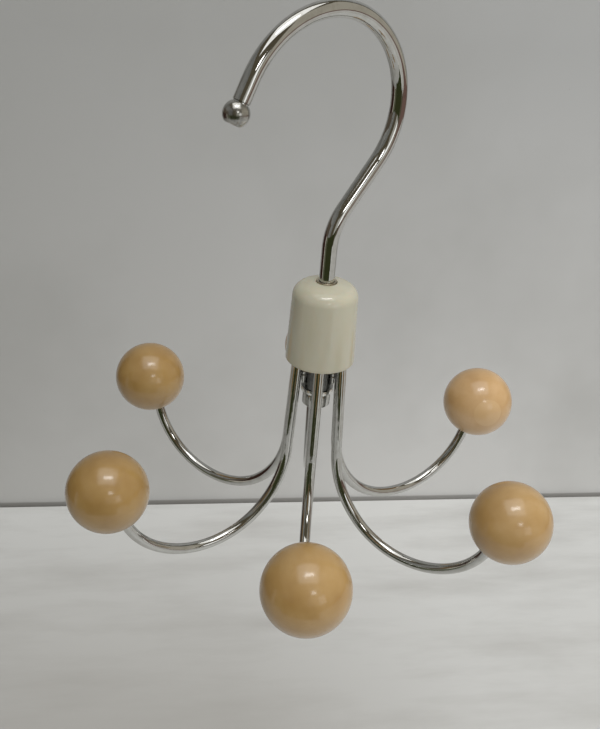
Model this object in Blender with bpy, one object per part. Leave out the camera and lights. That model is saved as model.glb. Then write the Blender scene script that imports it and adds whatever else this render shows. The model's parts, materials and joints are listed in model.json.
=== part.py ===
"""Swivelling multi-hook hanger: six chrome wire arms with wooden balls, turning under one rod hook.

The part hangs by its hook.  Its origin is the seat, the lowest point of the rod under the hook's
crown, where a rail carries it.  +Z is up, the hook lies in the X-Z plane and its tip points to -X.
The swivel's pieces are drawn about the swivel axis, with heights counted up from the cap's rim.
"""

import math

import bmesh
import bpy
from mathutils import Matrix, Vector

# Clearances
GAP = 0.0003
WELD_DISTANCE = 0.000001

# Hook rod: straight shank, neck bend, slant, then two arcs that meet at the crown
ROD_RADIUS = 0.0024
SHANK_HEIGHT = 0.037
NECK_BEND_RADIUS = 0.018
NECK_TURN = math.radians(40.0)
SLANT_LENGTH = 0.017
BACK_ARC_RADIUS = 0.026
FRONT_ARC_RADIUS = 0.0295
FRONT_ARC_TURN = math.radians(63.5)
TIP_LENGTH = 0.009
RIVET_HEAD_RADIUS = 0.0034
RIVET_HEAD_HEIGHT = 0.0009
RIVET_DOME_SHARE = 0.6

# Bead on the hook's tip, with a flat end
BEAD_RADIUS = 0.0036
BEAD_END_LENGTH = 0.0028
BEAD_SOCKET_DEPTH = 0.0005

# Hub: sleeve, plastic bush and the pieces that hold the rod in it
HUB_RADIUS = 0.0052
HUB_BORE_RADIUS = 0.0040
HUB_RISE = 0.014
HUB_DROP = 0.0097
HUB_CHAMFER = 0.0003
BUSH_FLANGE_RADIUS = 0.0048
BUSH_FLANGE_THICKNESS = 0.001
UPPER_WASHER_RADIUS = 0.0048
UPPER_WASHER_THICKNESS = 0.0008
STOP_COLLAR_RADIUS = 0.0043
STOP_COLLAR_HEIGHT = 0.003
THRUST_WASHER_RADIUS = 0.0052
THRUST_WASHER_THICKNESS = 0.0016
END_COLLAR_RADIUS = 0.0045
END_COLLAR_HEIGHT = 0.0045
COLLAR_CHAMFER = 0.0004

# Cap: drafted cup, open below, with a rounded shoulder and a shallow crown
CAP_RIM_RADIUS = 0.0110
CAP_HEIGHT = 0.0266
CAP_DRAFT = math.radians(2.1)
CAP_CROWN_SLOPE = math.radians(14.0)
CAP_SHOULDER_RADIUS = 0.0042
CAP_WALL = 0.0011
CAP_HOLE_LIP = 0.0004
FERRULE_WALL = 0.00035
FERRULE_LENGTH = 0.0022
FERRULE_STAND = 0.0001

# Arms: stem, wide upper bend, tighter lower bend, then a straight end up into the ball
ARM_COUNT = 6
WIRE_RADIUS = 0.00175
STEM_SPREAD = math.radians(2.8)
STEM_LENGTH = 0.047
UPPER_BEND_RADIUS = 0.034
UPPER_BEND_TURN = math.radians(44.5)
LOWER_BEND_RADIUS = 0.0278
LOWER_BEND_TURN = math.radians(112.0)
ARM_END_LENGTH = 0.0142
RING_TURN = math.radians(-9.4)

# Balls
BALL_RADIUS = 0.0125
BALL_HOLE_DEPTH = 0.0090
BALL_HOLE_CHAMFER = 0.0004

# Fineness of the meshes
BEND_STEP = math.radians(6.5)
ROD_BEVEL_STEPS = 6
WIRE_BEVEL_STEPS = 4
TURNED_SEGMENTS = 32
BALL_SEGMENTS = 20
BALL_BANDS = 11
BEAD_BANDS = 8
SHOULDER_BANDS = 6
SMOOTH_ANGLE = math.radians(35.0)

# Heights above the cap's rim that follow from the stack on the rod
BUSH_FLANGE_BOTTOM = HUB_RISE + GAP
UPPER_WASHER_BOTTOM = BUSH_FLANGE_BOTTOM + BUSH_FLANGE_THICKNESS + GAP
STOP_COLLAR_BOTTOM = UPPER_WASHER_BOTTOM + UPPER_WASHER_THICKNESS + GAP
THRUST_WASHER_BOTTOM = -HUB_DROP - GAP - THRUST_WASHER_THICKNESS
END_COLLAR_BOTTOM = THRUST_WASHER_BOTTOM - GAP - END_COLLAR_HEIGHT
RIVET_HEAD_TOP = END_COLLAR_BOTTOM - GAP
BORE_RADIUS = ROD_RADIUS + GAP


def clear_scene():
    """Remove every object of the open file."""
    for item in list(bpy.data.objects):
        bpy.data.objects.remove(item, do_unlink=True)


def make_material(name, colour, roughness, metallic=0.0):
    """A Principled material with one colour."""
    material = bpy.data.materials.new(name)
    material.use_nodes = True
    shader = material.node_tree.nodes["Principled BSDF"]
    shader.inputs["Base Color"].default_value = (*colour, 1.0)
    shader.inputs["Roughness"].default_value = roughness
    shader.inputs["Metallic"].default_value = metallic
    material.diffuse_color = (*colour, 1.0)
    return material


def chrome():
    """Chrome plating on steel."""
    return make_material("chrome", (0.72, 0.72, 0.70), 0.08, 1.0)


def steel():
    """Plain zinc-plated steel of the inner pieces."""
    return make_material("plated_steel", (0.55, 0.55, 0.54), 0.30, 1.0)


def ivory_plastic():
    """Glossy ivory plastic of the cap."""
    return make_material("ivory_plastic", (0.52, 0.50, 0.40), 0.25)


def bush_plastic():
    """Natural nylon of the bush."""
    return make_material("bush_plastic", (0.70, 0.69, 0.64), 0.45)


def lacquered_wood():
    """Clear-lacquered pale beech of the balls."""
    return make_material("lacquered_wood", (0.42, 0.27, 0.13), 0.35)


class Route:
    """A planar path of straight runs and arcs, as (across, up) points with a heading."""

    def __init__(self, across, up, heading):
        self.point = Vector((across, up))
        self.heading = heading
        self.points = [self.point.copy()]

    def direction(self):
        """Unit vector of the heading."""
        return Vector((math.cos(self.heading), math.sin(self.heading)))

    def straight(self, length):
        """Run straight on."""
        self.point = self.point + self.direction() * length
        self.points.append(self.point.copy())

    def arc(self, radius, turn):
        """Turn through an arc, to the left where turn is positive."""
        side = math.copysign(1.0, turn)
        centre = self.point + Vector((-math.sin(self.heading), math.cos(self.heading))) * radius * side
        steps = max(2, math.ceil(abs(turn) / BEND_STEP))
        for step in range(1, steps + 1):
            angle = self.heading + turn * step / steps
            spoke = Vector((math.sin(angle), -math.cos(angle))) * radius * side
            self.points.append(centre + spoke)
        self.heading += turn
        self.point = self.points[-1].copy()


def hook_route():
    """The rod's centreline from its riveted end to the bead's centre, and the crown's point."""
    route = Route(0.0, RIVET_HEAD_TOP, math.radians(90.0))
    route.straight(SHANK_HEIGHT - RIVET_HEAD_TOP)
    route.arc(NECK_BEND_RADIUS, -NECK_TURN)
    route.straight(SLANT_LENGTH)
    route.arc(BACK_ARC_RADIUS, math.radians(90.0) + NECK_TURN)
    crown = route.point.copy()
    route.arc(FRONT_ARC_RADIUS, FRONT_ARC_TURN)
    route.straight(TIP_LENGTH)
    return route, crown


def arm_route():
    """An arm's centreline in its own upright plane, from the weld's top to the ball's centre."""
    stem_top = HUB_RADIUS + GAP + WIRE_RADIUS
    route = Route(stem_top, HUB_RISE, math.radians(-90.0) + STEM_SPREAD)
    route.straight(STEM_LENGTH)
    route.arc(UPPER_BEND_RADIUS, UPPER_BEND_TURN)
    route.arc(LOWER_BEND_RADIUS, LOWER_BEND_TURN)
    route.straight(ARM_END_LENGTH)
    return route


def add_empty(name, location):
    """An empty that carries a body's pieces."""
    empty = bpy.data.objects.new(name, None)
    empty.location = location
    bpy.context.collection.objects.link(empty)
    return empty


def add_object(name, data, parent, material, height=0.0):
    """Link a piece under its parent, at a height on the parent's axis."""
    piece = bpy.data.objects.new(name, data)
    data.materials.append(material)
    piece.parent = parent
    piece.location = (0.0, 0.0, height)
    bpy.context.collection.objects.link(piece)
    return piece


def bent_rod(name, points, radius, bevel_steps, widths=None):
    """A round rod along (across, up) points in the X-Z plane; widths scale its radius."""
    curve = bpy.data.curves.new(name, "CURVE")
    curve.dimensions = "3D"
    curve.bevel_depth = radius
    curve.bevel_resolution = bevel_steps
    curve.use_fill_caps = True
    spline = curve.splines.new("POLY")
    spline.points.add(len(points) - 1)
    for index, (across, up) in enumerate(points):
        spline.points[index].co = (across, 0.0, up, 1.0)
        spline.points[index].radius = widths[index] if widths else 1.0
    return curve


def turned(name, outline, segments, closed=True):
    """Spin an (radius, height) outline about Z.  An open outline starts and ends on the axis."""
    mesh = bpy.data.meshes.new(name)
    form = bmesh.new()
    verts = [form.verts.new((radius, 0.0, height)) for radius, height in outline]
    edges = [form.edges.new(pair) for pair in zip(verts, verts[1:])]
    if closed:
        edges.append(form.edges.new((verts[-1], verts[0])))
    bmesh.ops.spin(
        form,
        geom=verts + edges,
        cent=(0.0, 0.0, 0.0),
        axis=(0.0, 0.0, 1.0),
        angle=math.radians(360.0),
        steps=segments,
        use_merge=True,
    )
    bmesh.ops.remove_doubles(form, verts=form.verts, dist=WELD_DISTANCE)
    bmesh.ops.recalc_face_normals(form, faces=form.faces)
    form.to_mesh(mesh)
    form.free()
    mesh.shade_smooth()
    mesh.set_sharp_from_angle(angle=SMOOTH_ANGLE)
    return mesh


def ring_outline(inner, outer, height, chamfer=0.0):
    """Outline of a ring, with its outer edges chamfered."""
    if not chamfer:
        return [(inner, 0.0), (outer, 0.0), (outer, height), (inner, height)]
    return [
        (inner, 0.0),
        (outer - chamfer, 0.0),
        (outer, chamfer),
        (outer, height - chamfer),
        (outer - chamfer, height),
        (inner, height),
    ]


def add_turned(name, outline, parent, material, height=0.0):
    """Spin an outline into a piece of the swivel stack and link it."""
    add_object(name, turned(name, outline, TURNED_SEGMENTS), parent, material, height)


def arc_points(centre, radius, start, end, bands):
    """Points along an arc round a centre, both ends included."""
    points = []
    for band in range(bands + 1):
        angle = start + (end - start) * band / bands
        points.append((centre[0] + radius * math.cos(angle), centre[1] + radius * math.sin(angle)))
    return points


def make_hook(frame, route):
    """The bent rod.  Its lower end is spread into a low rivet head under the end collar."""
    head_width = RIVET_HEAD_RADIUS / ROD_RADIUS
    dome_height = RIVET_HEAD_HEIGHT * RIVET_DOME_SHARE
    head = [
        (0.0, RIVET_HEAD_TOP - RIVET_HEAD_HEIGHT),
        (0.0, RIVET_HEAD_TOP - RIVET_HEAD_HEIGHT + dome_height),
        (0.0, RIVET_HEAD_TOP - WELD_DISTANCE),
    ]
    end = route.points[-1] - route.direction() * (BEAD_SOCKET_DEPTH + GAP)
    points = head + [tuple(point) for point in route.points[:-1]] + [tuple(end)]
    widths = [1.0, head_width, head_width] + [1.0] * len(route.points)
    curve = bent_rod("hook_rod", points, ROD_RADIUS, ROD_BEVEL_STEPS, widths)
    add_object("hook_rod", curve, frame, chrome_material)


def make_bead(frame, route):
    """The bead on the tip: a ball with a flat end and a socket for the rod."""
    mouth = math.pi - math.asin(BORE_RADIUS / BEAD_RADIUS)
    flat = math.acos(BEAD_END_LENGTH / BEAD_RADIUS)
    outline = [(0.0, -BEAD_SOCKET_DEPTH), (BORE_RADIUS, -BEAD_SOCKET_DEPTH)]
    for band in range(BEAD_BANDS + 1):
        angle = mouth + (flat - mouth) * band / BEAD_BANDS
        outline.append((BEAD_RADIUS * math.sin(angle), BEAD_RADIUS * math.cos(angle)))
    outline.append((0.0, BEAD_END_LENGTH))
    mesh = turned("hook_tip_bead", outline, BALL_SEGMENTS, closed=False)
    bead = add_object("hook_tip_bead", mesh, frame, chrome_material)
    centre = route.points[-1]
    bead.location = (centre.x, 0.0, centre.y)
    bead.rotation_euler = (0.0, math.radians(90.0) - route.heading, 0.0)


def cap_outline():
    """Outline of the cap's shell, up its outside and down its inside."""
    hole = BORE_RADIUS + FERRULE_WALL + GAP
    slope = (-math.cos(CAP_CROWN_SLOPE), math.sin(CAP_CROWN_SLOPE))
    # the shoulder's centre lies one radius inside the drafted wall and under the crown's cone
    cone_top = CAP_HEIGHT + hole * math.tan(CAP_CROWN_SLOPE)
    wall_run = CAP_RIM_RADIUS - CAP_SHOULDER_RADIUS / math.cos(CAP_DRAFT)
    drop = cone_top - CAP_SHOULDER_RADIUS / math.cos(CAP_CROWN_SLOPE)
    centre_up = (drop - wall_run * math.tan(CAP_CROWN_SLOPE)) / (
        1.0 - math.tan(CAP_DRAFT) * math.tan(CAP_CROWN_SLOPE)
    )
    centre = (wall_run - centre_up * math.tan(CAP_DRAFT), centre_up)
    crown = math.radians(90.0) - CAP_CROWN_SLOPE
    outside = arc_points(centre, CAP_SHOULDER_RADIUS, CAP_DRAFT, crown, SHOULDER_BANDS)
    inside = arc_points(centre, CAP_SHOULDER_RADIUS - CAP_WALL, crown, CAP_DRAFT, SHOULDER_BANDS)
    wall_across = CAP_WALL / math.cos(CAP_DRAFT)
    wall_up = CAP_WALL / math.cos(CAP_CROWN_SLOPE)
    lip = (hole - slope[0] * CAP_HOLE_LIP, CAP_HEIGHT - slope[1] * CAP_HOLE_LIP)
    return (
        [(CAP_RIM_RADIUS - wall_across, 0.0), (CAP_RIM_RADIUS, 0.0)]
        + outside
        + [lip, (hole, CAP_HEIGHT - CAP_HOLE_LIP), (hole, CAP_HEIGHT - wall_up)]
        + inside
    )


def make_swivel_stack(hook_frame, swivel_axis):
    """Cap, ferrule, hub sleeve, bush, washers and collars, all round the rod."""
    add_turned("cap", cap_outline(), swivel_axis, ivory_material)

    ferrule = ring_outline(BORE_RADIUS, BORE_RADIUS + FERRULE_WALL, FERRULE_LENGTH)
    ferrule_height = CAP_HEIGHT + FERRULE_STAND - FERRULE_LENGTH
    add_turned("shank_ferrule", ferrule, hook_frame, chrome_material, ferrule_height)

    hub = ring_outline(HUB_BORE_RADIUS, HUB_RADIUS, HUB_DROP + HUB_RISE, HUB_CHAMFER)
    add_turned("hub_sleeve", hub, swivel_axis, chrome_material, -HUB_DROP)

    bush_radius = HUB_BORE_RADIUS - GAP
    bush_length = HUB_DROP + BUSH_FLANGE_BOTTOM - GAP
    bush = [
        (BORE_RADIUS, 0.0),
        (bush_radius, 0.0),
        (bush_radius, bush_length),
        (BUSH_FLANGE_RADIUS, bush_length),
        (BUSH_FLANGE_RADIUS, bush_length + BUSH_FLANGE_THICKNESS),
        (BORE_RADIUS, bush_length + BUSH_FLANGE_THICKNESS),
    ]
    add_turned("pivot_bush", bush, swivel_axis, bush_material, GAP - HUB_DROP)

    washer = ring_outline(BORE_RADIUS, UPPER_WASHER_RADIUS, UPPER_WASHER_THICKNESS)
    add_turned("upper_washer", washer, swivel_axis, steel_material, UPPER_WASHER_BOTTOM)

    collar = ring_outline(BORE_RADIUS, STOP_COLLAR_RADIUS, STOP_COLLAR_HEIGHT, COLLAR_CHAMFER)
    add_turned("stop_collar", collar, hook_frame, steel_material, STOP_COLLAR_BOTTOM)

    thrust = ring_outline(BORE_RADIUS, THRUST_WASHER_RADIUS, THRUST_WASHER_THICKNESS, COLLAR_CHAMFER)
    add_turned("thrust_washer", thrust, hook_frame, chrome_material, THRUST_WASHER_BOTTOM)

    end_collar = ring_outline(BORE_RADIUS, END_COLLAR_RADIUS, END_COLLAR_HEIGHT, COLLAR_CHAMFER)
    add_turned("end_collar", end_collar, hook_frame, chrome_material, END_COLLAR_BOTTOM)


def ball_outline():
    """Outline of a ball with a blind hole that opens to -Z, from the hole's floor to the far pole."""
    hole = WIRE_RADIUS + GAP
    mouth_radius = hole + BALL_HOLE_CHAMFER
    mouth = math.pi - math.asin(mouth_radius / BALL_RADIUS)
    mouth_height = BALL_RADIUS * math.cos(mouth)
    floor_height = mouth_height + BALL_HOLE_DEPTH
    outline = [(0.0, floor_height), (hole, floor_height), (hole, mouth_height + BALL_HOLE_CHAMFER)]
    for band in range(BALL_BANDS + 1):
        angle = mouth * (1.0 - band / BALL_BANDS)
        outline.append((BALL_RADIUS * math.sin(angle), BALL_RADIUS * math.cos(angle)))
    outline[-1] = (0.0, BALL_RADIUS)
    return outline, floor_height


def make_arms(swivel_axis):
    """Six welded arms at equal turns, each with its ball pressed on."""
    route = arm_route()
    outline, floor_height = ball_outline()
    ball_centre = route.points[-1]
    wire_end = ball_centre + route.direction() * (floor_height - GAP)
    points = [tuple(point) for point in route.points[:-1]] + [tuple(wire_end)]
    wire = bent_rod("arm", points, WIRE_RADIUS, WIRE_BEVEL_STEPS)
    ball_mesh = turned("ball", outline, BALL_SEGMENTS, closed=False)
    wire.materials.append(chrome_material)
    ball_mesh.materials.append(wood_material)
    for index in range(ARM_COUNT):
        azimuth = RING_TURN + math.radians(360.0) * index / ARM_COUNT
        arm = bpy.data.objects.new(f"arm_{index + 1}", wire)
        arm.parent = swivel_axis
        arm.rotation_euler = (0.0, 0.0, azimuth)
        bpy.context.collection.objects.link(arm)
        ball = bpy.data.objects.new(f"ball_{index + 1}", ball_mesh)
        ball.parent = swivel_axis
        ball.location = Matrix.Rotation(azimuth, 3, "Z") @ Vector((ball_centre.x, 0.0, ball_centre.y))
        ball.rotation_euler = (0.0, math.radians(90.0) - route.heading, azimuth)
        bpy.context.collection.objects.link(ball)


clear_scene()
chrome_material = chrome()
steel_material = steel()
ivory_material = ivory_plastic()
bush_material = bush_plastic()
wood_material = lacquered_wood()

rod_route, crown_point = hook_route()
axis_place = (-crown_point.x, 0.0, ROD_RADIUS - crown_point.y)
hook_frame = add_empty("hook_frame", axis_place)
swivel_axis = add_empty("swivel_axis", axis_place)
make_hook(hook_frame, rod_route)
make_bead(hook_frame, rod_route)
make_swivel_stack(hook_frame, swivel_axis)
make_arms(swivel_axis)
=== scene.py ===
"""Looks of the swivelling multi-hook hanger: smooth chrome, ivory plastic and lacquered wood.

Turned pieces take their sizes and heights from the CAD nodes that they replace.  The hook and the
arms follow the same routes as their solids, in finer steps.
"""

import json
import math

import bmesh
import bpy
from mathutils import Matrix, Quaternion, Vector


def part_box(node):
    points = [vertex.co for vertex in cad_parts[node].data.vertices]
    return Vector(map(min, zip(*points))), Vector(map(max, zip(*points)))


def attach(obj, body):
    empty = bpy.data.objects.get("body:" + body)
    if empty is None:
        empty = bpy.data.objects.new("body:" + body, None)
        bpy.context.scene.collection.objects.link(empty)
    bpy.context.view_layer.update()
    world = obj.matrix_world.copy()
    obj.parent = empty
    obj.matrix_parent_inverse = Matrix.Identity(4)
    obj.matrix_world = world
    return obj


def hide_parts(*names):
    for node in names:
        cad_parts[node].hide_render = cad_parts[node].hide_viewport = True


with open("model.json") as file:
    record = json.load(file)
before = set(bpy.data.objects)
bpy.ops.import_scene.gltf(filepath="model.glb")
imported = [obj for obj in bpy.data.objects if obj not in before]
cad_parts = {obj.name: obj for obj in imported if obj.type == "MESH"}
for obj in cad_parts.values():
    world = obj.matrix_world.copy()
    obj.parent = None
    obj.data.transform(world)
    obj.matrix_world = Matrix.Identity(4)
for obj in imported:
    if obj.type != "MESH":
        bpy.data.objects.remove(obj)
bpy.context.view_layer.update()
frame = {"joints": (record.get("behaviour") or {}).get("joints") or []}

# The swivel axis, where the cap's rim meets it
SWIVEL = Vector(frame["joints"][0]["pos_m"])
# Each arm's ball: its lightness against the common wood colour, partly the wood's own and partly painted
# light and shade (lighter for the balls on the right, darker for those on the left), and how far its fibres
# are turned
BALL_TONES_AND_SHADE = (1.36, 1.0, 0.82, 0.80, 0.95, 1.06)
BALL_TURNS = (0.0, 110.0, -20.0, -75.0, -60.0, -190.0)

# Hook rod, the same route as the solid's
ROD_RADIUS = 0.0024
SHANK_HEIGHT = 0.037
NECK_BEND_RADIUS = 0.018
NECK_TURN = math.radians(40.0)
SLANT_LENGTH = 0.017
BACK_ARC_RADIUS = 0.026
FRONT_ARC_RADIUS = 0.0295
FRONT_ARC_TURN = math.radians(63.5)
TIP_LENGTH = 0.009
RIVET_HEAD_RADIUS = 0.0034
RIVET_HEAD_HEIGHT = 0.0009
RIVET_HEAD_POLE = 0.00005

# Bead on the tip, with a groove round the rod where they meet
BEAD_RADIUS = 0.0036
BEAD_END_LENGTH = 0.0028
BEAD_EDGE = 0.0005
BEAD_END_RISE = 0.0001
GROOVE_DEPTH = 0.00025
GROOVE_LENGTH = 0.0005
# the groove's profile: shares of its length before the bead, each with a share of its depth
GROOVE_PROFILE = ((1.0, 0.0), (0.6, 1.0), (0.2, 1.0))

# Fits and rounded edges of the turned pieces
TURNED_FIT = 0.0001
BORE_CLEARANCE = 0.0003
SMALL_EDGE = 0.0003
FINE_EDGE = 0.00012
HUB_WALL = 0.0012
BUSH_FLANGE_THICKNESS = 0.001

# Cap
CAP_DRAFT = math.radians(2.1)
CAP_CROWN_SLOPE = math.radians(14.0)
CAP_SHOULDER_RADIUS = 0.0042
CAP_WALL = 0.0011
CAP_RIM_EDGE = 0.0005
CAP_HOLE_EDGE = 0.0004

# Arms
WIRE_RADIUS = 0.00175
WELD_GAP = 0.0003
STEM_SPREAD = math.radians(2.8)
STEM_LENGTH = 0.047
UPPER_BEND_RADIUS = 0.034
UPPER_BEND_TURN = math.radians(44.5)
LOWER_BEND_RADIUS = 0.0278
LOWER_BEND_TURN = math.radians(112.0)
ARM_END_LENGTH = 0.0142

# Weld seam between a stem and the sleeve, with its ripples
SEAM_RADIUS = 0.0009
SEAM_END_MARGIN = 0.0015
SEAM_RIPPLE = 0.00002
SEAM_RIPPLES = 14
SEAM_STEPS = 84
SEAM_BLUNTNESS = 6

# Balls, and the pale end grain where the wood's fibres meet the surface
BALL_RADIUS = 0.0125
BALL_HOLE_DEPTH = 0.0090
BALL_HOLE_EDGE = 0.0004
BALL_FIT = 0.00005
END_GRAIN_RADIUS = 0.0049
END_GRAIN_EDGE = 0.0002
# the fibres' direction in an arm's own frame: outward, sideways, up
GRAIN_AXIS = Vector((-0.36, -0.92, 0.18))

# Fineness of the meshes
BEND_STEP = math.radians(1.5)
ROD_SIDES = 48
WIRE_SIDES = 40
SEAM_SIDES = 16
TURNED_SIDES = 96
SHOULDER_BANDS = 24
BALL_BANDS = 64
BEAD_BANDS = 48
HEAD_BANDS = 10
EDGE_BANDS = 5
SMOOTH_ANGLE = math.radians(40.0)
WELD_DISTANCE = 0.0000005

# Camera: its place about the swivel axis, then its aim
CAMERA_DISTANCE = 0.2465
CAMERA_RISE = 0.1330
CAMERA_AZIMUTH = math.radians(-131.08)
CAMERA_PITCH = math.radians(-28.91)
CAMERA_YAW = math.radians(1.41)
CAMERA_ROLL = math.radians(4.54)
SENSOR_WIDTH = 36.0
FOCAL_LENGTH = 52.75
CLIP_START = 0.01
CLIP_END = 20.0

# Room: the wall behind the object, the floor with a gap along that wall, and the left side wall
WALL_AZIMUTH = math.radians(59.28)
WALL_DISTANCE = 0.629
FLOOR_DROP = 0.5465
FLOOR_GAP = 0.006
FLOOR_EDGE = 0.002
ROOM_DEPTH = 2.3
ROOM_WIDTH = 2.4
ROOM_HEIGHT = 1.9
WALL_FOOT = 0.05
WALL_SHADE_HALF = 0.25
# Height of the painted shade along the wall's foot, which also darkens the wall down in the floor's gap
FOOT_SHADE_HEIGHT = 0.002
# Painted shade on the floor: where it begins to deepen and where it is deepest, outward towards the wall
FLOOR_SHADE_START = 0.08
FLOOR_SHADE_MIDDLE = 0.24
AMBIENT_STRENGTH = 0.6

# Curved cards round the object: their distance, and the heights where they begin and end
CARD_DISTANCE = 0.85
CARD_STEP = math.radians(3.0)
BAND_LOW = -0.50
BAND_HIGH = 0.03
LEFT_LOW = -0.385
EDGE_HIGH = -0.22
BENCH_HIGH = -0.15
SHELF_HIGH = -0.03
SIDE_HIGH = 1.3
WINDOW_LOW = 0.02
WINDOW_HIGH = 0.32
WINDOW_STRENGTH = 1.6

# The azimuths in degrees where the cards begin and end, from left to right
CARDS_LEFT = -122.0
MAROON_END = -76.0
PALE_END = -68.0
CORNER_END = -58.0
OLIVE_END = -46.0
CURTAIN_START = 6.0
WINDOW_START = 31.0
GREEN_END = 32.0
EDGE_END = 42.0
WINDOW_END = 47.0
SIDE_START = 52.0
CARDS_RIGHT = 122.0

# The largest features of each material's noise
PLATING_WAVE = 0.007
PLATING_PATCH = 0.003
PLATING_RUB = 0.0004
STEEL_SPANGLE = 0.0011
IVORY_FLOW = 0.006
IVORY_SPECK = 0.0012
NYLON_CLOUD = 0.0014
WOOD_BLOTCH = 0.009
WOOD_FIBRE = 0.0011
WOOD_PORE = 0.0004
PAINT_STAIN = 0.25
PAINT_SPECK = 0.006
PAINT_STREAK = 0.05

# Grime on the cap: its height above the rim, and its reach and depths round the hole
RIM_GRIME_HEIGHT = 0.0012
HOLE_GRIME_REACH = (0.0030, 0.0042)
HOLE_GRIME_DEPTHS = (0.0015, 0.0005)

# How strongly a ball's red, green and blue follow its lightness; as that lightness is partly painted light
# and shade, this paints the shaded balls richer and the lit ones paler
TONE_AND_SHADE_POWERS = (1.0, 1.1, 2.1)

# Sockets of a Mix node that mixes colours
MIX_SHARE, MIX_FIRST, MIX_SECOND, MIX_RESULT = 0, 6, 7, 2


def srgb(red, green, blue):
    """A linear colour from 8-bit sRGB values."""
    def linear(value):
        share = value / 255.0
        return share / 12.92 if share <= 0.04045 else ((share + 0.055) / 1.055) ** 2.4
    return (linear(red), linear(green), linear(blue), 1.0)


# Colours, linear from 8-bit values
CHROME_BRIGHT = srgb(194, 194, 191)
CHROME_DULL = srgb(180, 179, 174)
CHROME_DARK = srgb(120, 120, 118)
# The sleeve's plating colours, far darker than the other chrome: painted shade for the sleeve under the cap
SLEEVE_SHADED_BRIGHT = srgb(100, 100, 98)
SLEEVE_SHADED_DULL = srgb(58, 58, 56)
# The thrust washer's colours, brighter than the other plating: partly a brighter metal, partly painted light
# for the brightness it lacks under the cap
WASHER = srgb(236, 236, 233)
WASHER_DULL = srgb(208, 208, 204)
NICKEL = srgb(196, 186, 166)
NICKEL_DULL = srgb(164, 152, 130)
STEEL_PALE = srgb(190, 190, 188)
STEEL_DARK = srgb(160, 160, 158)
IVORY = srgb(176, 172, 154)
IVORY_SHADE = srgb(171, 166, 145)
IVORY_DIRT = srgb(142, 133, 106)
NYLON = srgb(218, 216, 206)
NYLON_SHADE = srgb(206, 203, 190)
WOOD = srgb(161, 127, 72)
WOOD_PALE = srgb(169, 137, 86)
WOOD_DEEP = srgb(151, 116, 61)
WOOD_END = srgb(168, 136, 82)
WOOD_FLECK = srgb(128, 92, 50)
# Wall paint: lighter low down and darker higher up, painted light and shade; the stain colour also paints
# shade towards the left
PAINT_WALL_LIT_LOW = srgb(216, 215, 212)
PAINT_WALL_SHADED_HIGH = srgb(168, 168, 166)
PAINT_WALL_STAIN_AND_SHADE = srgb(154, 153, 148)
# Painted shade along the wall's foot and in the gap by the floor
PAINT_FOOT_SHADE = srgb(92, 84, 72)
PAINT_FLOOR = srgb(227, 227, 224)
# The floor's streak colour, which also serves as its painted shade
PAINT_FLOOR_STREAK_AND_SHADE = srgb(170, 167, 161)
AMBIENT = srgb(240, 241, 242)
ROOM_DIM = srgb(120, 112, 93)
CARD_GREEN = srgb(58, 62, 38)
CARD_OLIVE = srgb(98, 100, 80)
CARD_MAROON = srgb(62, 44, 38)
CARD_PALE = srgb(200, 195, 184)
CARD_EDGE = srgb(226, 225, 220)
CARD_CORNER = srgb(98, 89, 78)
CARD_BENCH = srgb(205, 203, 198)
CARD_SHELF = srgb(122, 98, 90)
CARD_SIDE = srgb(182, 176, 163)
CARD_CURTAIN = srgb(188, 186, 178)
CARD_WINDOW = srgb(250, 250, 250)


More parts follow.
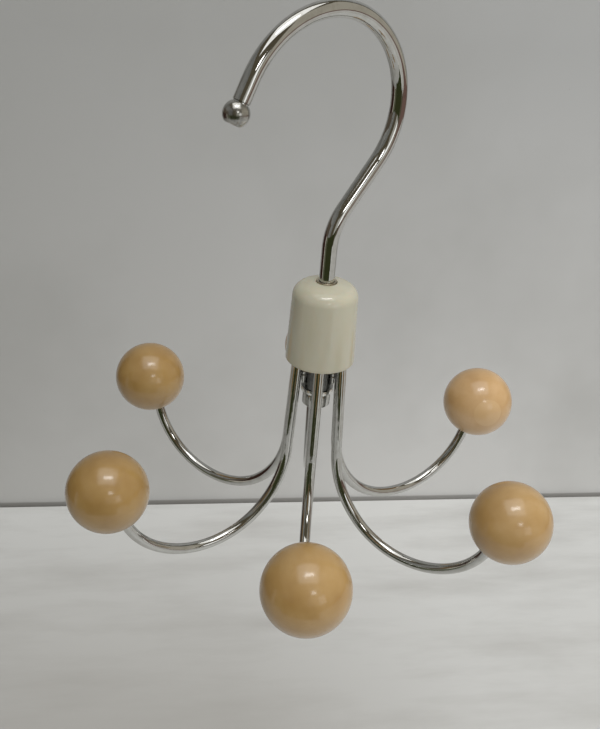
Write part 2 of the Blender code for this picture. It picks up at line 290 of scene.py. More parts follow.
class Nodes:
    """A material's node tree, with short calls to add and join nodes."""

    def __init__(self, name):
        self.material = bpy.data.materials.new(name)
        self.material.use_nodes = True
        self.tree = self.material.node_tree
        self.shader = self.tree.nodes["Principled BSDF"]

    def add(self, kind, **settings):
        """Add a node; settings name its properties."""
        node = self.tree.nodes.new(kind)
        for key, value in settings.items():
            setattr(node, key, value)
        return node

    def join(self, source, target):
        """Link an output socket to an input socket."""
        self.tree.links.new(source, target)

    def paint(self, colour):
        """Drive the shader's colour."""
        self.join(colour, self.shader.inputs["Base Color"])

    def roughen(self, value):
        """Drive the shader's roughness."""
        self.join(value, self.shader.inputs["Roughness"])

    def constants(self, values):
        """Set constants on the shader's own sockets."""
        for name, value in values.items():
            self.shader.inputs[name].default_value = value

    def place(self, origin=(0.0, 0.0, 0.0), turn=(0.0, 0.0, 0.0), stretch=(1.0, 1.0, 1.0)):
        """Object coordinates seen from an origin and a turn, with features stretched along the axes."""
        coordinates = self.add("ShaderNodeTexCoord")
        mapping = self.add("ShaderNodeMapping", vector_type="TEXTURE")
        mapping.inputs["Location"].default_value = origin
        mapping.inputs["Rotation"].default_value = turn
        mapping.inputs["Scale"].default_value = stretch
        self.join(coordinates.outputs["Object"], mapping.inputs["Vector"])
        return mapping.outputs["Vector"]

    def noise(self, vector, feature, detail=3.0, roughness=0.5, seed=0.0):
        """Noise whose largest features are about one feature length across."""
        node = self.add("ShaderNodeTexNoise", noise_dimensions="4D")
        node.inputs["W"].default_value = seed
        node.inputs["Scale"].default_value = 1.0 / feature
        node.inputs["Detail"].default_value = detail
        node.inputs["Roughness"].default_value = roughness
        self.join(vector, node.inputs["Vector"])
        return node.outputs["Fac"]

    def ramp(self, value, stops):
        """A colour ramp through (position, colour) stops."""
        node = self.add("ShaderNodeValToRGB")
        elements = node.color_ramp.elements
        while len(elements) < len(stops):
            elements.new(0.5)
        for element, (position, colour) in zip(elements, stops):
            element.position = position
            element.color = colour
        self.join(value, node.inputs["Fac"])
        return node.outputs["Color"]

    def remap(self, value, source, target):
        """A value mapped from a source range to a target range."""
        node = self.add("ShaderNodeMapRange")
        node.inputs["From Min"].default_value, node.inputs["From Max"].default_value = source
        node.inputs["To Min"].default_value, node.inputs["To Max"].default_value = target
        self.join(value, node.inputs["Value"])
        return node.outputs["Result"]

    def times(self, first, second):
        """The product of two values."""
        node = self.add("ShaderNodeMath", operation="MULTIPLY")
        self.join(first, node.inputs[0])
        self.join(second, node.inputs[1])
        return node.outputs["Value"]

    def split(self, vector):
        """The three coordinates of a vector."""
        node = self.add("ShaderNodeSeparateXYZ")
        self.join(vector, node.inputs["Vector"])
        return node.outputs

    def reach(self, vector):
        """Distance from the local upright axis."""
        level = self.add("ShaderNodeVectorMath", operation="MULTIPLY")
        level.inputs[1].default_value = (1.0, 1.0, 0.0)
        length = self.add("ShaderNodeVectorMath", operation="LENGTH")
        self.join(vector, level.inputs[0])
        self.join(level.outputs["Vector"], length.inputs[0])
        return length.outputs["Value"]

    def mix(self, share, first, second):
        """A mix of two colours; share is a number or a socket, and so is each colour."""
        node = self.add("ShaderNodeMix", data_type="RGBA")
        sockets = (node.inputs[MIX_SHARE], node.inputs[MIX_FIRST], node.inputs[MIX_SECOND])
        for socket, value in zip(sockets, (share, first, second)):
            if isinstance(value, bpy.types.NodeSocket):
                self.join(value, socket)
            else:
                socket.default_value = value
        return node.outputs[MIX_RESULT]

    def bump(self, height, strength, distance):
        """Bump the shader's surface."""
        node = self.add("ShaderNodeBump")
        node.inputs["Strength"].default_value = strength
        node.inputs["Distance"].default_value = distance
        self.join(height, node.inputs["Height"])
        self.join(node.outputs["Normal"], self.shader.inputs["Normal"])


def plating(name, dull, bright, smooth, rough, seed):
    """Plated metal: faint waviness, fine rub marks and patches that have gone dull."""
    nodes = Nodes(name)
    place = nodes.place()
    waves = nodes.noise(place, PLATING_WAVE, detail=2.0, seed=seed)
    upright = nodes.place(stretch=(1.0, 1.0, 4.0))
    rubs = nodes.noise(upright, PLATING_RUB, detail=4.0, roughness=0.7, seed=seed)
    patches = nodes.noise(place, PLATING_PATCH, detail=5.0, roughness=0.65, seed=seed)
    nodes.paint(nodes.ramp(patches, [(0.30, dull), (0.55, bright)]))
    nodes.roughen(nodes.remap(patches, (0.35, 0.75), (rough, smooth)))
    nodes.bump(nodes.mix(0.10, waves, rubs), strength=0.08, distance=0.0008)
    nodes.constants({"Metallic": 1.0})
    return nodes.material


def plated_steel():
    """Zinc plating on the pieces inside the cap, slightly mottled and dull."""
    nodes = Nodes("plated_steel_look")
    spangle = nodes.noise(nodes.place(), STEEL_SPANGLE, detail=4.0, roughness=0.6)
    nodes.paint(nodes.ramp(spangle, [(0.3, STEEL_DARK), (0.7, STEEL_PALE)]))
    nodes.roughen(nodes.remap(spangle, (0.3, 0.7), (0.22, 0.38)))
    nodes.bump(spangle, strength=0.12, distance=0.0002)
    nodes.constants({"Metallic": 1.0})
    return nodes.material


def ivory_plastic(cap_height):
    """Moulded ivory plastic: glossy, faint flow clouds, grime along the rim and round the hole."""
    nodes = Nodes("ivory_plastic_look")
    place = nodes.place(origin=SWIVEL)
    flow = nodes.noise(nodes.place(stretch=(1.0, 1.0, 3.0)), IVORY_FLOW, detail=3.0, roughness=0.55)
    grime = nodes.noise(place, IVORY_SPECK, detail=5.0, roughness=0.7)
    height = nodes.split(place)[2]
    rim = nodes.remap(height, (0.0, RIM_GRIME_HEIGHT), (0.55, 0.0))
    crown = [cap_height - depth for depth in HOLE_GRIME_DEPTHS]
    hole = nodes.times(
        nodes.remap(nodes.reach(place), HOLE_GRIME_REACH, (0.45, 0.0)),
        nodes.remap(height, crown, (0.0, 1.0)),
    )
    tint = nodes.ramp(flow, [(0.3, IVORY_SHADE), (0.7, IVORY)])
    soiled = nodes.mix(nodes.times(rim, grime), tint, IVORY_DIRT)
    soiled = nodes.mix(nodes.times(hole, grime), soiled, IVORY_DIRT)
    nodes.paint(nodes.mix(nodes.remap(grime, (0.66, 0.80), (0.0, 0.15)), soiled, IVORY_DIRT))
    nodes.roughen(nodes.remap(grime, (0.3, 0.8), (0.08, 0.16)))
    nodes.bump(flow, strength=0.02, distance=0.0006)
    nodes.constants({"Subsurface Weight": 0.08, "Subsurface Scale": 0.002})
    return nodes.material


def bush_plastic():
    """Natural nylon, slightly cloudy."""
    nodes = Nodes("bush_plastic_look")
    cloud = nodes.noise(nodes.place(), NYLON_CLOUD)
    nodes.paint(nodes.ramp(cloud, [(0.3, NYLON_SHADE), (0.7, NYLON)]))
    nodes.roughen(nodes.remap(cloud, (0.3, 0.7), (0.38, 0.52)))
    nodes.bump(cloud, strength=0.10, distance=0.0002)
    return nodes.material


def shade(colour, tone_and_shade):
    """A wood colour made lighter and paler, or darker and richer, by a ball's factor that is partly its own
    colour and partly painted light and shade.
    """
    return tuple(level * tone_and_shade**power for level, power in zip(colour, TONE_AND_SHADE_POWERS)) + (1.0,)


def lacquered_wood(name, centre, turn, seed, tone_and_shade):
    """Pale wood under clear lacquer: soft blotches, faint fibres, few pores and pale end grain."""
    nodes = Nodes(name)
    # The ball's colours scaled by its factor: partly the wood's own colour, partly painted light and shade.
    deep, middle, pale = (shade(colour, tone_and_shade) for colour in (WOOD_DEEP, WOOD, WOOD_PALE))
    place = nodes.place(centre, turn)
    along = nodes.place(centre, turn, stretch=(1.0, 1.0, 7.0))
    blotches = nodes.noise(place, WOOD_BLOTCH, detail=3.0, roughness=0.5, seed=seed)
    fibres = nodes.noise(along, WOOD_FIBRE, detail=3.0, roughness=0.6, seed=seed)
    pores = nodes.noise(along, WOOD_PORE, detail=2.0, roughness=0.5, seed=seed)
    tint = nodes.ramp(blotches, [(0.30, deep), (0.5, middle), (0.72, pale)])
    tint = nodes.mix(nodes.remap(fibres, (0.40, 0.75), (0.0, 0.22)), tint, deep)
    tint = nodes.mix(nodes.remap(pores, (0.68, 0.76), (0.0, 0.30)), tint, WOOD_FLECK)
    disc = (END_GRAIN_RADIUS, END_GRAIN_RADIUS + END_GRAIN_EDGE)
    end_grain = nodes.times(
        nodes.remap(nodes.reach(place), disc, (0.7, 0.0)),
        nodes.remap(nodes.split(place)[2], (0.0, END_GRAIN_EDGE), (0.0, 1.0)),
    )
    nodes.paint(nodes.mix(end_grain, tint, shade(WOOD_END, tone_and_shade)))
    nodes.roughen(nodes.remap(blotches, (0.3, 0.7), (0.46, 0.56)))
    nodes.bump(nodes.mix(0.3, blotches, fibres), strength=0.05, distance=0.0004)
    nodes.constants({"Coat Weight": 1.0, "Coat Roughness": 0.16, "Specular IOR Level": 0.7})
    return nodes.material


class Route:
    """A planar path of straight runs and arcs: (across, up) points, each with its heading."""

    def __init__(self, across, up, heading):
        self.point = Vector((across, up))
        self.heading = heading
        self.points = [(self.point.copy(), heading)]

    def direction(self):
        """Unit vector of the heading."""
        return Vector((math.cos(self.heading), math.sin(self.heading)))

    def straight(self, length):
        """Run straight on."""
        self.point = self.point + self.direction() * length
        self.points.append((self.point.copy(), self.heading))

    def arc(self, radius, turn):
        """Turn through an arc, to the left where turn is positive."""
        side = math.copysign(1.0, turn)
        centre = self.point + Vector((-math.sin(self.heading), math.cos(self.heading))) * radius * side
        steps = max(2, math.ceil(abs(turn) / BEND_STEP))
        for step in range(1, steps + 1):
            angle = self.heading + turn * step / steps
            spoke = Vector((math.sin(angle), -math.cos(angle))) * radius * side
            self.points.append((centre + spoke, angle))
        self.heading += turn
        self.point = self.points[-1][0].copy()


def finish_mesh(form, name, material, place):
    """Turn a bmesh into an object at a place, smooth but for its true edges."""
    bmesh.ops.remove_doubles(form, verts=form.verts, dist=WELD_DISTANCE)
    bmesh.ops.recalc_face_normals(form, faces=form.faces)
    mesh = bpy.data.meshes.new(name)
    form.to_mesh(mesh)
    form.free()
    mesh.transform(place)
    mesh.shade_smooth()
    mesh.set_sharp_from_angle(angle=SMOOTH_ANGLE)
    mesh.materials.append(material)
    piece = bpy.data.objects.new(name, mesh)
    bpy.context.collection.objects.link(piece)
    return piece


def sweep(form, sections, sides):
    """Add a round bar through (point, heading, radius) sections in the X-Z plane, with flat ends."""
    rings = []
    for point, heading, radius in sections:
        across = Vector((-math.sin(heading), 0.0, math.cos(heading)))
        centre = Vector((point.x, 0.0, point.y))
        verts = []
        for side in range(sides):
            angle = math.radians(360.0) * side / sides
            spoke = across * math.cos(angle) + Vector((0.0, math.sin(angle), 0.0))
            verts.append(form.verts.new(centre + spoke * radius))
        rings.append(verts)
    for first, second in zip(rings, rings[1:]):
        for side in range(sides):
            after = (side + 1) % sides
            form.faces.new((first[side], first[after], second[after], second[side]))
    form.faces.new(rings[0])
    form.faces.new(rings[-1])


def turned(name, outline, material, place, closed=True):
    """Spin a (radius, height) outline about Z.  An open outline starts and ends on the axis."""
    form = bmesh.new()
    verts = [form.verts.new((radius, 0.0, height)) for radius, height in outline]
    edges = [form.edges.new(pair) for pair in zip(verts, verts[1:])]
    if closed:
        edges.append(form.edges.new((verts[-1], verts[0])))
    bmesh.ops.spin(
        form,
        geom=verts + edges,
        cent=(0.0, 0.0, 0.0),
        axis=(0.0, 0.0, 1.0),
        angle=math.radians(360.0),
        steps=TURNED_SIDES,
        use_merge=True,
    )
    return finish_mesh(form, name, material, place)


def arc_points(centre, radius, start, end, bands):
    """Points along an arc round a centre, both ends included."""
    points = []
    for band in range(bands + 1):
        angle = start + (end - start) * band / bands
        points.append((centre[0] + radius * math.cos(angle), centre[1] + radius * math.sin(angle)))
    return points


def rounded(corners, radii):
    """A closed outline with each corner replaced by an arc of its own radius."""
    points = []
    count = len(corners)
    for index, (corner, radius) in enumerate(zip(corners, radii)):
        here = Vector(corner)
        before = (Vector(corners[index - 1]) - here).normalized()
        after = (Vector(corners[(index + 1) % count]) - here).normalized()
        if radius <= 0.0:
            points.append(tuple(here))
            continue
        half = before.angle(after) / 2.0
        centre = here + (before + after).normalized() * (radius / math.sin(half))
        first = here + before * (radius / math.tan(half)) - centre
        turn = first.angle_signed(here + after * (radius / math.tan(half)) - centre)
        for band in range(EDGE_BANDS + 1):
            spoke = first.copy()
            spoke.rotate(Matrix.Rotation(-turn * band / EDGE_BANDS, 2))
            points.append(tuple(centre + spoke))
    return points


def ring(inner, outer, height, edge):
    """Outline of a ring with rounded edges."""
    corners = [(inner, 0.0), (outer, 0.0), (outer, height), (inner, height)]
    return rounded(corners, [edge / 2.0, edge, edge, edge / 2.0])


def node_ring(node):
    """Outer radius, bottom above the cap's rim and height of a turned CAD node."""
    low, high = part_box(node)
    return (high.x - low.x) / 2.0, low.z - SWIVEL.z, high.z - low.z


def on_axis(height=0.0):
    """The place on the swivel axis at a height above the cap's rim."""
    return Matrix.Translation(SWIVEL + Vector((0.0, 0.0, height)))


def hand_over(piece, body, node):
    """Let a piece ride on its body in place of its CAD node."""
    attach(piece, body)
    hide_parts(node)


def hook_route():
    """The rod's centreline from under the end collar to the bead's centre."""
    start = node_ring("end_collar")[1] - BORE_CLEARANCE
    route = Route(0.0, start, math.radians(90.0))
    route.straight(SHANK_HEIGHT - start)
    route.arc(NECK_BEND_RADIUS, -NECK_TURN)
    route.straight(SLANT_LENGTH)
    route.arc(BACK_ARC_RADIUS, math.radians(90.0) + NECK_TURN)
    route.arc(FRONT_ARC_RADIUS, FRONT_ARC_TURN)
    route.straight(TIP_LENGTH)
    return route


def make_hook_rod(route):
    """The bent rod with its rivet head below and a groove where the bead begins."""
    head_top, upright = route.points[0][0].y, route.points[0][1]
    sections = []
    for band in range(HEAD_BANDS + 1):
        turn = math.radians(90.0) * band / HEAD_BANDS
        radius = max(RIVET_HEAD_POLE, RIVET_HEAD_RADIUS * math.sin(turn))
        height = head_top - RIVET_HEAD_HEIGHT * math.cos(turn)
        sections.append((Vector((0.0, height)), upright, radius))
    sections.append((Vector((0.0, head_top)), upright, ROD_RADIUS))
    sections += [(point, heading, ROD_RADIUS) for point, heading in route.points[1:-1]]
    neck = route.point - route.direction() * math.sqrt(BEAD_RADIUS**2 - ROD_RADIUS**2)
    for back, depth in GROOVE_PROFILE:
        point = neck - route.direction() * GROOVE_LENGTH * back
        sections.append((point, route.heading, ROD_RADIUS - GROOVE_DEPTH * depth))
    sections.append((route.point, route.heading, ROD_RADIUS))
    form = bmesh.new()
    sweep(form, sections, ROD_SIDES)
    rod = finish_mesh(form, "hook_bar", chrome_look, on_axis())
    hand_over(rod, "hook", "hook_rod")


def make_bead(route):
    """The bead on the tip: a ball whose far side is ground nearly flat."""
    neck = math.pi - math.asin(ROD_RADIUS / BEAD_RADIUS)
    flat = math.acos(BEAD_END_LENGTH / BEAD_RADIUS)
    outline = [(0.0, BEAD_RADIUS * math.cos(neck))]
    for band in range(BEAD_BANDS + 1):
        angle = neck + (flat - neck) * band / BEAD_BANDS
        outline.append((BEAD_RADIUS * math.sin(angle), BEAD_RADIUS * math.cos(angle)))
    rim = BEAD_RADIUS * math.sin(flat)
    outline.append((rim - BEAD_EDGE, BEAD_END_LENGTH + BEAD_END_RISE))
    outline.append((0.0, BEAD_END_LENGTH + BEAD_END_RISE))
    tilt = Matrix.Rotation(math.radians(90.0) - route.heading, 4, "Y")
    place = on_axis() @ Matrix.Translation((route.point.x, 0.0, route.point.y)) @ tilt
    bead = turned("tip_bead", outline, bead_look, place, closed=False)
    hand_over(bead, "hook", "hook_tip_bead")


def cap_outline(rim_radius, cap_height, hole):
    """Outline of the cap: rounded rim, drafted wall, shoulder, shallow crown and inside."""
    cone_top = cap_height + hole * math.tan(CAP_CROWN_SLOPE)
    wall_run = rim_radius - CAP_SHOULDER_RADIUS / math.cos(CAP_DRAFT)
    drop = cone_top - CAP_SHOULDER_RADIUS / math.cos(CAP_CROWN_SLOPE)
    centre_up = (drop - wall_run * math.tan(CAP_CROWN_SLOPE)) / (
        1.0 - math.tan(CAP_DRAFT) * math.tan(CAP_CROWN_SLOPE)
    )
    centre = (wall_run - centre_up * math.tan(CAP_DRAFT), centre_up)
    crown = math.radians(90.0) - CAP_CROWN_SLOPE
    outside = arc_points(centre, CAP_SHOULDER_RADIUS, CAP_DRAFT, crown, SHOULDER_BANDS)
    inside = arc_points(centre, CAP_SHOULDER_RADIUS - CAP_WALL, crown, CAP_DRAFT, SHOULDER_BANDS)
    wall_across = CAP_WALL / math.cos(CAP_DRAFT)
    wall_up = CAP_WALL / math.cos(CAP_CROWN_SLOPE)
    rim_centre = (rim_radius - CAP_RIM_EDGE, CAP_RIM_EDGE)
    rim = arc_points(rim_centre, CAP_RIM_EDGE, math.radians(-90.0), CAP_DRAFT, EDGE_BANDS)
    lip_centre = (hole + CAP_HOLE_EDGE, cap_height - CAP_HOLE_EDGE)
    lip = arc_points(lip_centre, CAP_HOLE_EDGE, crown, math.radians(180.0), EDGE_BANDS)
    under = [(hole, cap_height - wall_up)]
    return [(rim_radius - wall_across, 0.0)] + rim + outside + lip + under + inside


def make_cap():
    """The ivory cap."""
    rim_radius, bottom, height = node_ring("cap")
    hole = node_ring("shank_ferrule")[0] + TURNED_FIT
    outline = cap_outline(rim_radius, height, hole)
    cap = turned("cap_shell", outline, ivory_plastic(height), on_axis(bottom))
    hand_over(cap, "arm_ring", "cap")


def make_ring(name, node, body, material, bore, edge):
    """A ring with rounded edges, sized and placed by its CAD node."""
    outer, bottom, height = node_ring(node)
    piece = turned(name, ring(bore, outer, height, edge), material, on_axis(bottom))
    hand_over(piece, body, node)


def make_bush():
    """The flanged nylon bush inside the sleeve."""
    outer, bottom, height = node_ring("pivot_bush")
    body_radius = node_ring("hub_sleeve")[0] - HUB_WALL - TURNED_FIT
    bore = ROD_RADIUS + BORE_CLEARANCE
    shoulder = height - BUSH_FLANGE_THICKNESS
    corners = [
        (bore, 0.0),
        (body_radius, 0.0),
        (body_radius, shoulder),
        (outer, shoulder),
        (outer, height),
        (bore, height),
    ]
    outline = rounded(corners, [FINE_EDGE, FINE_EDGE, 0.0, FINE_EDGE, FINE_EDGE, FINE_EDGE])
    bush = turned("bush", outline, bush_plastic(), on_axis(bottom))
    hand_over(bush, "arm_ring", "pivot_bush")


def make_swivel_stack():
    """Ferrule, sleeve, washers and collars round the rod."""
    tight = ROD_RADIUS + TURNED_FIT
    loose = ROD_RADIUS + BORE_CLEARANCE
    hub_bore = node_ring("hub_sleeve")[0] - HUB_WALL
    make_ring("ferrule", "shank_ferrule", "hook", nickel_look, tight, FINE_EDGE)
    make_ring("sleeve", "hub_sleeve", "arm_ring", painted_shade_chrome_look, hub_bore, SMALL_EDGE)
    make_ring("washer_upper", "upper_washer", "arm_ring", steel_look, loose, FINE_EDGE)
    make_ring("collar_stop", "stop_collar", "hook", steel_look, tight, SMALL_EDGE)
    make_ring("washer_thrust", "thrust_washer", "hook", washer_look, tight, SMALL_EDGE)
    make_ring("collar_end", "end_collar", "hook", chrome_look, tight, SMALL_EDGE)


def arm_route(sleeve_radius, stem_top):
    """An arm's centreline in its own upright plane, from the weld's top to the ball's centre."""
    across = sleeve_radius + WELD_GAP + WIRE_RADIUS
    route = Route(across, stem_top, math.radians(-90.0) + STEM_SPREAD)
    route.straight(STEM_LENGTH)
    route.arc(UPPER_BEND_RADIUS, UPPER_BEND_TURN)
    route.arc(LOWER_BEND_RADIUS, LOWER_BEND_TURN)
    route.straight(ARM_END_LENGTH)
    return route


def seam_sections(sleeve_radius, bottom, top):
    """A weld seam along the sleeve, thin at its ends and rippled between them."""
    sections = []
    for step in range(SEAM_STEPS + 1):
        share = step / SEAM_STEPS
        taper = math.sqrt(max(0.0, 1.0 - (2.0 * share - 1.0) ** SEAM_BLUNTNESS))
        ripple = SEAM_RIPPLE * math.cos(math.radians(360.0) * SEAM_RIPPLES * share)
        point = Vector((sleeve_radius + WELD_GAP / 2.0, top + (bottom - top) * share))
        radius = FINE_EDGE + (SEAM_RADIUS + ripple - FINE_EDGE) * taper
        sections.append((point, math.radians(-90.0), radius))
    return sections


def ball_outline():
    """Outline of a ball with a rounded mouth to its blind hole, and the hole's floor height."""
    hole = WIRE_RADIUS + BALL_FIT
    mouth_radius = hole + BALL_HOLE_EDGE
    mouth = math.pi - math.asin(mouth_radius / BALL_RADIUS)
    mouth_height = BALL_RADIUS * math.cos(mouth)
    floor_height = mouth_height + BALL_HOLE_DEPTH
    lip_centre = (mouth_radius, mouth_height + BALL_HOLE_EDGE)
    lip = arc_points(lip_centre, BALL_HOLE_EDGE, math.radians(180.0), math.radians(270.0), EDGE_BANDS)
    outline = [(0.0, floor_height), (hole, floor_height)] + lip
    for band in range(1, BALL_BANDS):
        angle = mouth * (1.0 - band / BALL_BANDS)
        outline.append((BALL_RADIUS * math.sin(angle), BALL_RADIUS * math.cos(angle)))
    outline.append((0.0, BALL_RADIUS))
    return outline, floor_height


def make_arm(number, route, seam, wire_end, place):
    """One arm with its weld seam."""
    sections = [(point, heading, WIRE_RADIUS) for point, heading in route.points[:-1]]
    sections.append((wire_end, route.heading, WIRE_RADIUS))
    form = bmesh.new()
    sweep(form, sections, WIRE_SIDES)
    sweep(form, seam, SEAM_SIDES)
    arm = finish_mesh(form, f"wire_arm_{number}", chrome_look, place)
    hand_over(arm, "arm_ring", f"arm_{number}")


def make_ball(number, route, outline, place):
    """One ball on its arm's end, with its own piece of wood."""
    centre = Matrix.Translation((route.point.x, 0.0, route.point.y))
    tilt = Matrix.Rotation(math.radians(90.0) - route.heading, 4, "Y")
    turn = Quaternion((0.0, 0.0, 1.0), math.radians(BALL_TURNS[number - 1]))
    grain = place.to_quaternion() @ turn @ GRAIN_AXIS.to_track_quat("Z", "Y")
    name = f"lacquered_wood_{number}"
    # This ball's lightness factor, partly painted light and shade.
    tone_and_shade = BALL_TONES_AND_SHADE[number - 1]
    wood = lacquered_wood(name, (place @ centre).translation, grain.to_euler(), float(number), tone_and_shade)
    ball = turned(f"wood_ball_{number}", outline, wood, place @ centre @ tilt, closed=False)
    hand_over(ball, "arm_ring", f"ball_{number}")


def make_arms():
    """Each arm with its ball, at the azimuth where the CAD ball stands."""
    sleeve_radius, bottom, height = node_ring("hub_sleeve")
    route = arm_route(sleeve_radius, bottom + height)
    seam = seam_sections(sleeve_radius, bottom + SEAM_END_MARGIN, bottom + height - SEAM_END_MARGIN)
    outline, floor_height = ball_outline()
    wire_end = route.point + route.direction() * floor_height
    for number in range(1, len(BALL_TONES_AND_SHADE) + 1):
        low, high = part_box(f"ball_{number}")
        middle = (low + high) / 2.0 - SWIVEL
        place = on_axis() @ Matrix.Rotation(math.atan2(middle.y, middle.x), 4, "Z")
        make_arm(number, route, seam, wire_end, place)
        make_ball(number, route, outline, place)


def wall_paint():
    """Pale grey wall paint, faintly stained, and a little darker higher up and to the left: painted shade.
    """
    nodes = Nodes("wall_paint")
    place = nodes.place(origin=room_place().translation, turn=(0.0, 0.0, WALL_AZIMUTH))
    across, up = nodes.split(place)[1:]
    stains = nodes.noise(place, PAINT_STAIN, detail=4.0, roughness=0.55)
    specks = nodes.noise(place, PAINT_SPECK, detail=3.0, roughness=0.7)
    # Painted light and shade: lighter near the floor, darker higher up, and darker towards the left.
    rise = nodes.remap(up, (0.0, FLOOR_DROP), (0.0, 1.0))
    left_shade = nodes.remap(across, (-WALL_SHADE_HALF, WALL_SHADE_HALF), (0.0, 0.42))
    tint = nodes.mix(rise, PAINT_WALL_LIT_LOW, PAINT_WALL_SHADED_HIGH)
    tint = nodes.mix(left_shade, tint, PAINT_WALL_STAIN_AND_SHADE)
    tint = nodes.mix(nodes.remap(stains, (0.45, 0.70), (0.0, 0.3)), tint, PAINT_WALL_STAIN_AND_SHADE)
    tint = nodes.mix(nodes.remap(specks, (0.70, 0.80), (0.0, 0.4)), tint, PAINT_WALL_STAIN_AND_SHADE)
    # Painted shade along the wall's foot, at its fullest in the gap below the floor's edge.
    foot = nodes.remap(up, (0.0, FOOT_SHADE_HEIGHT), (0.45, 0.0))
    nodes.paint(nodes.mix(foot, tint, PAINT_FOOT_SHADE))
    nodes.roughen(nodes.remap(stains, (0.3, 0.7), (0.75, 0.9)))
    nodes.bump(specks, strength=0.05, distance=0.001)
    nodes.constants({"Specular IOR Level": 0.2})
    return nodes.material


def floor_paint():
    """White paint with soft streaks along the wall, and painted shade over a strip some way from it, darker
    towards the left.
    """
    nodes = Nodes("floor_paint")
    origin = room_place().translation
    turn = (0.0, 0.0, WALL_AZIMUTH)
    along_wall = nodes.place(origin, turn, stretch=(1.0, 5.0, 1.0))
    streaks = nodes.noise(along_wall, PAINT_STREAK, detail=5.0, roughness=0.6)
    outward, across = nodes.split(nodes.place(origin, turn))[:2]
    # Painted shade over a strip between the object and the wall, deeper towards the left.
    strip = nodes.times(
        nodes.remap(outward, (FLOOR_SHADE_START, FLOOR_SHADE_MIDDLE), (0.4, 1.0)),
        nodes.remap(outward, (FLOOR_SHADE_MIDDLE, WALL_DISTANCE), (1.0, 0.0)),
    )
    floor_shade = nodes.times(strip, nodes.remap(across, (-WALL_SHADE_HALF, 0.0), (0.4, 0.95)))
    tint = nodes.mix(floor_shade, PAINT_FLOOR, PAINT_FLOOR_STREAK_AND_SHADE)
    tint = nodes.mix(nodes.remap(streaks, (0.45, 0.75), (0.0, 0.5)), tint, PAINT_FLOOR_STREAK_AND_SHADE)
    nodes.paint(tint)
    nodes.roughen(nodes.remap(streaks, (0.3, 0.7), (0.55, 0.75)))
    nodes.bump(streaks, strength=0.05, distance=0.001)
    nodes.constants({"Specular IOR Level": 0.3})
    return nodes.material


def room_place():
    """The room's frame: +X to the wall behind the object, +Z up, origin on the floor under the object."""
    ground = Vector((SWIVEL.x, SWIVEL.y, SWIVEL.z - FLOOR_DROP))
    return Matrix.Translation(ground) @ Matrix.Rotation(WALL_AZIMUTH, 4, "Z")


def run_along(name, profile, material):
    """A stage surface: an (outward, up) profile drawn along the wall's whole width."""
    form = bmesh.new()
    half = ROOM_WIDTH / 2.0
    left = [form.verts.new((across, half, up)) for across, up in profile]
    right = [form.verts.new((across, -half, up)) for across, up in profile]
    for index in range(len(profile) - 1):
        form.faces.new((left[index], left[index + 1], right[index + 1], right[index]))
    surface = finish_mesh(form, name, material, room_place())


def make_room():
    """The wall behind the object, the floor with its rounded edge along it, and the left side wall."""
    paint = wall_paint()
    back = WALL_DISTANCE - ROOM_DEPTH
    edge = WALL_DISTANCE - FLOOR_GAP
    run_along("stage_wall", [(WALL_DISTANCE, -WALL_FOOT), (WALL_DISTANCE, ROOM_HEIGHT)], paint)
    turn = arc_points((edge - FLOOR_EDGE, -FLOOR_EDGE), FLOOR_EDGE, math.radians(90.0), 0.0, EDGE_BANDS)
    profile = [(back, 0.0)] + turn + [(edge, -WALL_FOOT), (WALL_DISTANCE, -WALL_FOOT)]
    run_along("stage_floor", profile, floor_paint())
    form = bmesh.new()
    corners = [(back, 0.0), (WALL_DISTANCE, 0.0), (WALL_DISTANCE, ROOM_HEIGHT), (back, ROOM_HEIGHT)]
    form.faces.new([form.verts.new((across, ROOM_WIDTH / 2.0, up)) for across, up in corners])
    side = finish_mesh(form, "stage_side_wall", paint, room_place())


def glow(name, colour, strength):
    """An emitting surface for a card."""
    material = bpy.data.materials.new(name)
    material.use_nodes = True
    tree = material.node_tree
    tree.nodes.clear()
    emission = tree.nodes.new("ShaderNodeEmission")
    emission.inputs["Color"].default_value = colour
    emission.inputs["Strength"].default_value = strength
    output = tree.nodes.new("ShaderNodeOutputMaterial")
    tree.links.new(emission.outputs["Emission"], output.inputs["Surface"])
    return material


def toward(azimuth, elevation=0.0):
    """Unit vector at an azimuth to the right of the camera, as the object sees it, and an elevation."""
    around = CAMERA_AZIMUTH + azimuth
    level = math.cos(elevation)
    return Vector((math.cos(around) * level, math.sin(around) * level, math.sin(elevation)))


def card(name, start, end, low, high, colour, strength=1.0):
    """A curved card from one azimuth to another and between two heights, which only gloss shows."""
    form = bmesh.new()
    turn = math.radians(end - start)
    steps = max(1, math.ceil(turn / CARD_STEP))
    columns = []
    for step in range(steps + 1):
        foot = toward(math.radians(start) + turn * step / steps) * CARD_DISTANCE
        columns.append([form.verts.new(foot + Vector((0.0, 0.0, height))) for height in (low, high)])
    for first, second in zip(columns, columns[1:]):
        form.faces.new((first[0], second[0], second[1], first[1]))
    sheet = finish_mesh(form, name, glow(name, colour, strength), on_axis())
    sheet.visible_camera = False
    sheet.visible_diffuse = False
    sheet.visible_shadow = False
    sheet.visible_transmission = False
    sheet.visible_volume_scatter = False


def lamp(name, azimuth, elevation, distance, size, power, glossy=True):
    """A soft rectangular lamp aimed at the object."""
    outward = toward(math.radians(azimuth), math.radians(elevation))
    light = bpy.data.lights.new(name, "AREA")
    light.shape = "RECTANGLE"
    light.size, light.size_y = size
    light.energy = power
    item = bpy.data.objects.new(name, light)
    item.rotation_mode = "QUATERNION"
    item.rotation_quaternion = outward.to_track_quat("Z", "Y")
    item.location = SWIVEL + outward * distance
    item.visible_glossy = glossy
    bpy.context.collection.objects.link(item)


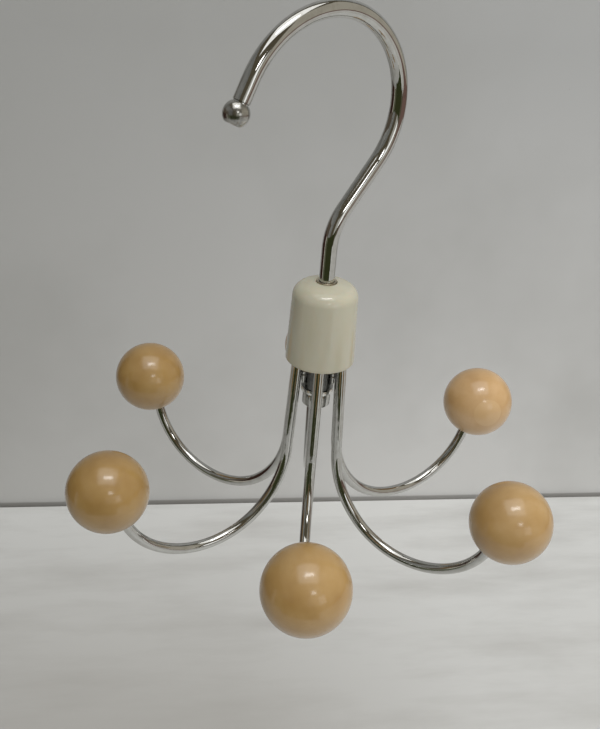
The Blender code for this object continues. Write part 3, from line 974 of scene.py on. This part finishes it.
def make_light():
    """Two small lamps for the highlights, three broad ones for the shading, and an ambient level."""
    lamp("lamp_over", azimuth=14.0, elevation=74.0, distance=1.0, size=(0.40, 0.14), power=1.7)
    lamp("lamp_small", azimuth=20.0, elevation=31.0, distance=0.9, size=(0.16, 0.10), power=0.35)
    lamp("lamp_top", azimuth=8.0, elevation=80.0, distance=1.2, size=(1.1, 1.1), power=5.2)
    lamp("lamp_side", azimuth=105.0, elevation=25.0, distance=1.2, size=(0.6, 0.6), power=5.0, glossy=False)
    lamp("lamp_front", azimuth=25.0, elevation=30.0, distance=1.2, size=(0.6, 0.6), power=3.6, glossy=False)
    make_world()


def make_world():
    """An even pale level for the shading, and a dimmer room for the gloss."""
    world = bpy.data.worlds.new("studio")
    world.use_nodes = True
    tree = world.node_tree
    background = tree.nodes["Background"]
    background.inputs["Strength"].default_value = AMBIENT_STRENGTH
    path = tree.nodes.new("ShaderNodeLightPath")
    mix = tree.nodes.new("ShaderNodeMix")
    mix.data_type = "RGBA"
    mix.inputs[MIX_FIRST].default_value = AMBIENT
    mix.inputs[MIX_SECOND].default_value = ROOM_DIM
    tree.links.new(path.outputs["Is Glossy Ray"], mix.inputs[MIX_SHARE])
    tree.links.new(mix.outputs[MIX_RESULT], background.inputs["Color"])
    bpy.context.scene.world = world


def make_cards():
    """Dark, coloured and bright cards that give the chrome its stripes."""
    card("card_green", OLIVE_END, GREEN_END, BAND_LOW, BAND_HIGH, CARD_GREEN)
    card("card_olive", PALE_END, OLIVE_END, LEFT_LOW, BAND_HIGH, CARD_OLIVE)
    card("card_pale", MAROON_END, PALE_END, LEFT_LOW, BAND_HIGH, CARD_PALE)
    card("card_maroon", CARDS_LEFT, MAROON_END, LEFT_LOW, BAND_HIGH, CARD_MAROON)
    card("card_corner", CARDS_LEFT, CORNER_END, BAND_HIGH, WINDOW_HIGH, CARD_CORNER)
    card("card_edge", GREEN_END, EDGE_END, BAND_LOW, EDGE_HIGH, CARD_EDGE)
    card("card_bench", EDGE_END, CARDS_RIGHT, BAND_LOW, BENCH_HIGH, CARD_BENCH)
    card("card_shelf", SIDE_START, CARDS_RIGHT, BENCH_HIGH, SHELF_HIGH, CARD_SHELF)
    card("card_side", SIDE_START, CARDS_RIGHT, SHELF_HIGH, SIDE_HIGH, CARD_SIDE)
    card("card_curtain", CURTAIN_START, WINDOW_START, WINDOW_LOW, WINDOW_HIGH, CARD_CURTAIN)
    card("card_window", WINDOW_START, WINDOW_END, WINDOW_LOW, WINDOW_HIGH, CARD_WINDOW, WINDOW_STRENGTH)


def make_camera():
    """The camera about the swivel axis, aimed by heading, pitch and roll."""
    camera = bpy.data.objects.new("camera", bpy.data.cameras.new("camera"))
    camera.location = SWIVEL + toward(0.0) * CAMERA_DISTANCE + Vector((0.0, 0.0, CAMERA_RISE))
    heading = CAMERA_AZIMUTH + math.radians(180.0) + CAMERA_YAW
    level = math.cos(CAMERA_PITCH)
    aim = Vector((math.cos(heading) * level, math.sin(heading) * level, math.sin(CAMERA_PITCH)))
    camera.rotation_mode = "QUATERNION"
    camera.rotation_quaternion = aim.to_track_quat("-Z", "Y") @ Quaternion((0.0, 0.0, 1.0), CAMERA_ROLL)
    camera.data.sensor_fit = "HORIZONTAL"
    camera.data.sensor_width = SENSOR_WIDTH
    camera.data.lens = FOCAL_LENGTH
    camera.data.clip_start = CLIP_START
    camera.data.clip_end = CLIP_END
    bpy.context.collection.objects.link(camera)
    bpy.context.scene.camera = camera


def write_sizes():
    """Bring the scene's transforms up to date."""
    bpy.context.view_layer.update()


bpy.context.scene.view_settings.view_transform = "Standard"

chrome_look = plating("chrome_look", CHROME_DULL, CHROME_BRIGHT, smooth=0.02, rough=0.06, seed=1.0)
# The sleeve's chrome, darkened as painted shade
painted_shade_chrome_look = plating("painted_shade_chrome_look", SLEEVE_SHADED_DULL, SLEEVE_SHADED_BRIGHT, smooth=0.03, rough=0.09, seed=2.0)
nickel_look = plating("nickel_look", NICKEL_DULL, NICKEL, smooth=0.22, rough=0.36, seed=3.0)
# Partly painted light: the washer's plating is brighter than the rest
washer_look = plating("washer_look", WASHER_DULL, WASHER, smooth=0.12, rough=0.22, seed=5.0)
bead_look = plating("bead_look", CHROME_DARK, CHROME_DULL, smooth=0.14, rough=0.28, seed=4.0)
steel_look = plated_steel()

rod_route = hook_route()
make_hook_rod(rod_route)
make_bead(rod_route)
make_cap()
make_bush()
make_swivel_stack()
make_arms()
make_room()
make_cards()
make_light()
make_camera()

write_sizes()
